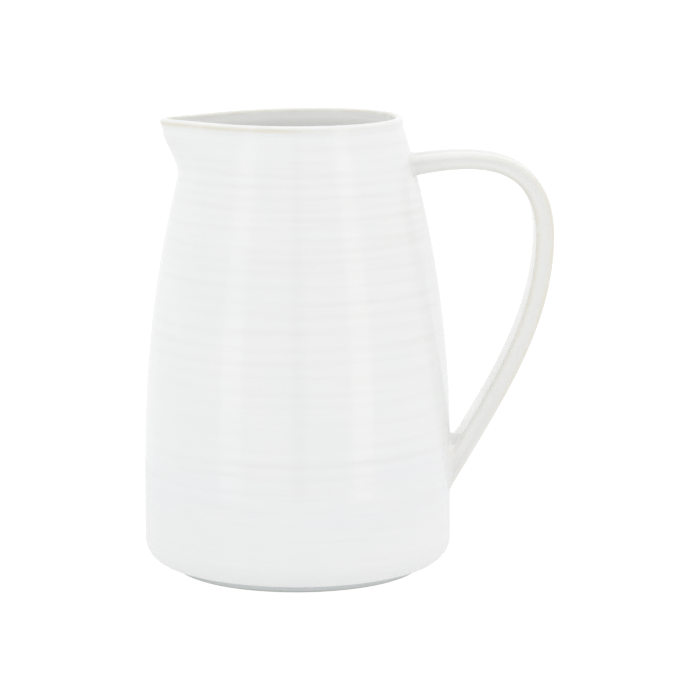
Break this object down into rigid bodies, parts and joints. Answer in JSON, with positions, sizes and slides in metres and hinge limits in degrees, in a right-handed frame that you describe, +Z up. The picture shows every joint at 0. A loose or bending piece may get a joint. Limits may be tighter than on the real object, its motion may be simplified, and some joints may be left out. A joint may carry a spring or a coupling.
{
  "type": "pitcher",
  "caption": "Glazed ceramic pitcher: a round thrown body leaning in to its mouth, a pulled pouring spout and a looped strap handle on a bare foot ring.",
  "frame": {"origin": "on the table, under the middle of the whole object's bounding box", "axes": "+Z up, +X towards the handle, -X towards the spout, +Y to the far side when the spout is on the left"},
  "size_m": [0.1832, 0.138, 0.2032],
  "materials": {
    "glaze": "glossy off-white glaze, thin and tan along the lip and the strap's edges",
    "bare_clay": "unglazed, matt, pale blue-grey"
  },
  "bodies": {
    "root": {"body": "glaze", "foot_ring": "bare_clay", "handle": "glaze", "upper_handle_joint": "glaze", "lower_handle_joint": "glaze"}
  },
  "joints": []
}
